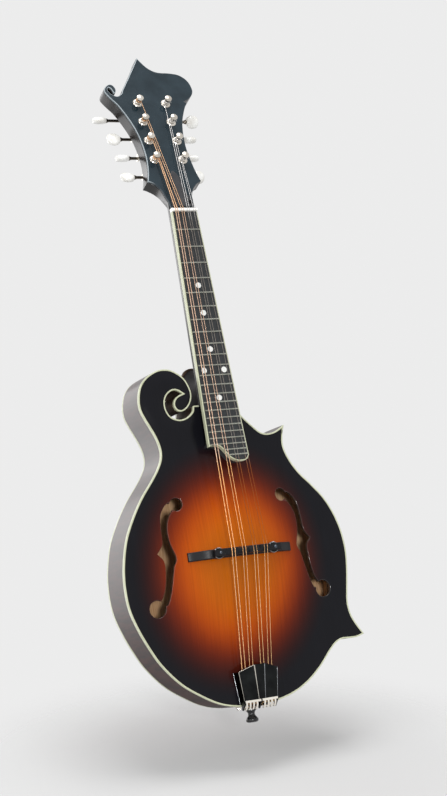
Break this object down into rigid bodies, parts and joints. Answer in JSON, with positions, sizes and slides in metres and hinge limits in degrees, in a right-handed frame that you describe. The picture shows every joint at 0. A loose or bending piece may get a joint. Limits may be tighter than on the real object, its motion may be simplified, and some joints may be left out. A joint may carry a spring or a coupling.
{
  "type": "mandolin",
  "caption": "F-style mandolin: carved top with f-holes, scroll body with points, fretted neck, scrolled headstock with geared tuners, adjustable bridge and tailpiece",
  "frame": {"origin": "centre of the end pin's flat outer face, at the foot of the instrument", "axes": "+Z along the body towards the headstock, -Y out of the soundboard, +X to the treble side"},
  "size_m": [0.2539, 0.1119, 0.7114],
  "materials": {
    "top_finish": "gloss sunburst lacquer, amber in the middle and near black at the edge",
    "body_finish": "gloss dark red-brown lacquer",
    "bare_wood": "raw",
    "binding": "aged ivory",
    "head_face": "black gloss",
    "board": "satin, with bright frets",
    "ebony": "satin",
    "bone": "polished bone",
    "nickel": "polished nickel",
    "tail_metal": "polished nickel",
    "pin": "black gloss",
    "rod_steel": "plain",
    "tuner_metal": "polished nickel",
    "button": "pearl white",
    "wound_string": "bronze wound",
    "plain_string": "bright"
  },
  "bodies": {
    "body": {"top_plate": "top_finish", "back_plate": "body_finish", "top_binding": "binding", "back_binding": "binding", "rims": "body_finish", "head_block": "bare_wood", "tail_block": "bare_wood", "upper_point_block": "bare_wood", "lower_point_block": "bare_wood", "top_lining_bass": "bare_wood", "back_lining_bass": "bare_wood", "top_lining_treble": "bare_wood", "back_lining_treble": "bare_wood", "tone_bar_bass": "bare_wood", "tone_bar_treble": "bare_wood", "headstock_overlay": "head_face", "truss_rod_cover": "head_face", "cover_screw_1": "nickel", "cover_screw_2": "nickel", "tuner_plate_bass": "tuner_metal", "tuner_plate_treble": "tuner_metal", "neck": "body_finish", "truss_rod": "rod_steel", "fingerboard": "board", "fingerboard_binding": "binding", "nut": "bone", "bridge_base": "ebony", "bridge_stud_bass": "nickel", "bridge_stud_treble": "nickel", "tailpiece": "tail_metal", "end_pin": "pin", "tail_screw_bass": "nickel", "tail_screw_treble": "nickel", "string_g_1": "wound_string", "string_g_2": "wound_string", "string_d_1": "wound_string", "string_d_2": "wound_string", "string_a_1": "plain_string", "string_a_2": "plain_string", "string_e_1": "plain_string", "string_e_2": "plain_string"},
    "key_bass_1": {"tuner_key_bass_1": "button"},
    "post_bass_1": {"tuner_post_bass_1": "tuner_metal"},
    "key_bass_2": {"tuner_key_bass_2": "button"},
    "post_bass_2": {"tuner_post_bass_2": "tuner_metal"},
    "key_bass_3": {"tuner_key_bass_3": "button"},
    "post_bass_3": {"tuner_post_bass_3": "tuner_metal"},
    "key_bass_4": {"tuner_key_bass_4": "button"},
    "post_bass_4": {"tuner_post_bass_4": "tuner_metal"},
    "key_treble_1": {"tuner_key_treble_1": "button"},
    "post_treble_1": {"tuner_post_treble_1": "tuner_metal"},
    "key_treble_2": {"tuner_key_treble_2": "button"},
    "post_treble_2": {"tuner_post_treble_2": "tuner_metal"},
    "key_treble_3": {"tuner_key_treble_3": "button"},
    "post_treble_3": {"tuner_post_treble_3": "tuner_metal"},
    "key_treble_4": {"tuner_key_treble_4": "button"},
    "post_treble_4": {"tuner_post_treble_4": "tuner_metal"},
    "saddle": {"bridge_saddle": "ebony"},
    "wheel_bass": {"thumbwheel_bass": "nickel"},
    "wheel_treble": {"thumbwheel_treble": "nickel"}
  },
  "joints": [
    {"name": "turn_key_bass_1", "type": "hinge", "parent": "body", "child": "key_bass_1", "pos_m": [-0.0163, 0.02685, 0.56968], "axis": [1, 0, 0], "continuous": true},
    {"name": "turn_post_bass_1", "type": "hinge", "parent": "body", "child": "post_bass_1", "pos_m": [-0.0163, 0.00767, 0.58254], "axis": [0, 0.9563, -0.2924], "continuous": true},
    {"name": "turn_key_bass_2", "type": "hinge", "parent": "body", "child": "key_bass_2", "pos_m": [-0.0163, 0.03398, 0.59301], "axis": [1, 0, 0], "continuous": true},
    {"name": "turn_post_bass_2", "type": "hinge", "parent": "body", "child": "post_bass_2", "pos_m": [-0.0163, 0.0148, 0.60588], "axis": [0, 0.9563, -0.2924], "continuous": true},
    {"name": "turn_key_bass_3", "type": "hinge", "parent": "body", "child": "key_bass_3", "pos_m": [-0.0163, 0.04111, 0.61634], "axis": [1, 0, 0], "continuous": true},
    {"name": "turn_post_bass_3", "type": "hinge", "parent": "body", "child": "post_bass_3", "pos_m": [-0.0163, 0.02194, 0.62921], "axis": [0, 0.9563, -0.2924], "continuous": true},
    {"name": "turn_key_bass_4", "type": "hinge", "parent": "body", "child": "key_bass_4", "pos_m": [-0.0163, 0.04825, 0.63968], "axis": [1, 0, 0], "continuous": true},
    {"name": "turn_post_bass_4", "type": "hinge", "parent": "body", "child": "post_bass_4", "pos_m": [-0.0163, 0.02907, 0.65255], "axis": [0, 0.9563, -0.2924], "continuous": true},
    {"name": "turn_key_treble_1", "type": "hinge", "parent": "body", "child": "key_treble_1", "pos_m": [0.0163, 0.02685, 0.56968], "axis": [1, 0, 0], "continuous": true},
    {"name": "turn_post_treble_1", "type": "hinge", "parent": "body", "child": "post_treble_1", "pos_m": [0.0163, 0.00767, 0.58254], "axis": [0, 0.9563, -0.2924], "continuous": true},
    {"name": "turn_key_treble_2", "type": "hinge", "parent": "body", "child": "key_treble_2", "pos_m": [0.0163, 0.03398, 0.59301], "axis": [1, 0, 0], "continuous": true},
    {"name": "turn_post_treble_2", "type": "hinge", "parent": "body", "child": "post_treble_2", "pos_m": [0.0163, 0.0148, 0.60588], "axis": [0, 0.9563, -0.2924], "continuous": true},
    {"name": "turn_key_treble_3", "type": "hinge", "parent": "body", "child": "key_treble_3", "pos_m": [0.0163, 0.04111, 0.61634], "axis": [1, 0, 0], "continuous": true},
    {"name": "turn_post_treble_3", "type": "hinge", "parent": "body", "child": "post_treble_3", "pos_m": [0.0163, 0.02194, 0.62921], "axis": [0, 0.9563, -0.2924], "continuous": true},
    {"name": "turn_key_treble_4", "type": "hinge", "parent": "body", "child": "key_treble_4", "pos_m": [0.0163, 0.04825, 0.63968], "axis": [1, 0, 0], "continuous": true},
    {"name": "turn_post_treble_4", "type": "hinge", "parent": "body", "child": "post_treble_4", "pos_m": [0.0163, 0.02907, 0.65255], "axis": [0, 0.9563, -0.2924], "continuous": true},
    {"name": "saddle_height", "type": "slide", "parent": "body", "child": "saddle", "axis": [0, -1, 0], "range_m": [-0.0015, 0]},
    {"name": "turn_wheel_bass", "type": "hinge", "parent": "saddle", "child": "wheel_bass", "pos_m": [-0.03, -0.04045, 0.16603], "axis": [0, -1, 0], "range_deg": [-760, 10]},
    {"name": "turn_wheel_treble", "type": "hinge", "parent": "saddle", "child": "wheel_treble", "pos_m": [0.03, -0.04045, 0.16603], "axis": [0, -1, 0], "range_deg": [-760, 10]}
  ],
  "couplings": [
    {"joint": "turn_post_bass_1", "follows": "turn_key_bass_1", "ratio": -0.071429},
    {"joint": "turn_post_bass_2", "follows": "turn_key_bass_2", "ratio": -0.071429},
    {"joint": "turn_post_bass_3", "follows": "turn_key_bass_3", "ratio": -0.071429},
    {"joint": "turn_post_bass_4", "follows": "turn_key_bass_4", "ratio": -0.071429},
    {"joint": "turn_post_treble_1", "follows": "turn_key_treble_1", "ratio": 0.071429},
    {"joint": "turn_post_treble_2", "follows": "turn_key_treble_2", "ratio": 0.071429},
    {"joint": "turn_post_treble_3", "follows": "turn_key_treble_3", "ratio": 0.071429},
    {"joint": "turn_post_treble_4", "follows": "turn_key_treble_4", "ratio": 0.071429},
    {"joint": "turn_wheel_bass", "follows": "saddle_height", "rad_per_m": 7913.3},
    {"joint": "turn_wheel_treble", "follows": "saddle_height", "rad_per_m": 7913.3}
  ]
}
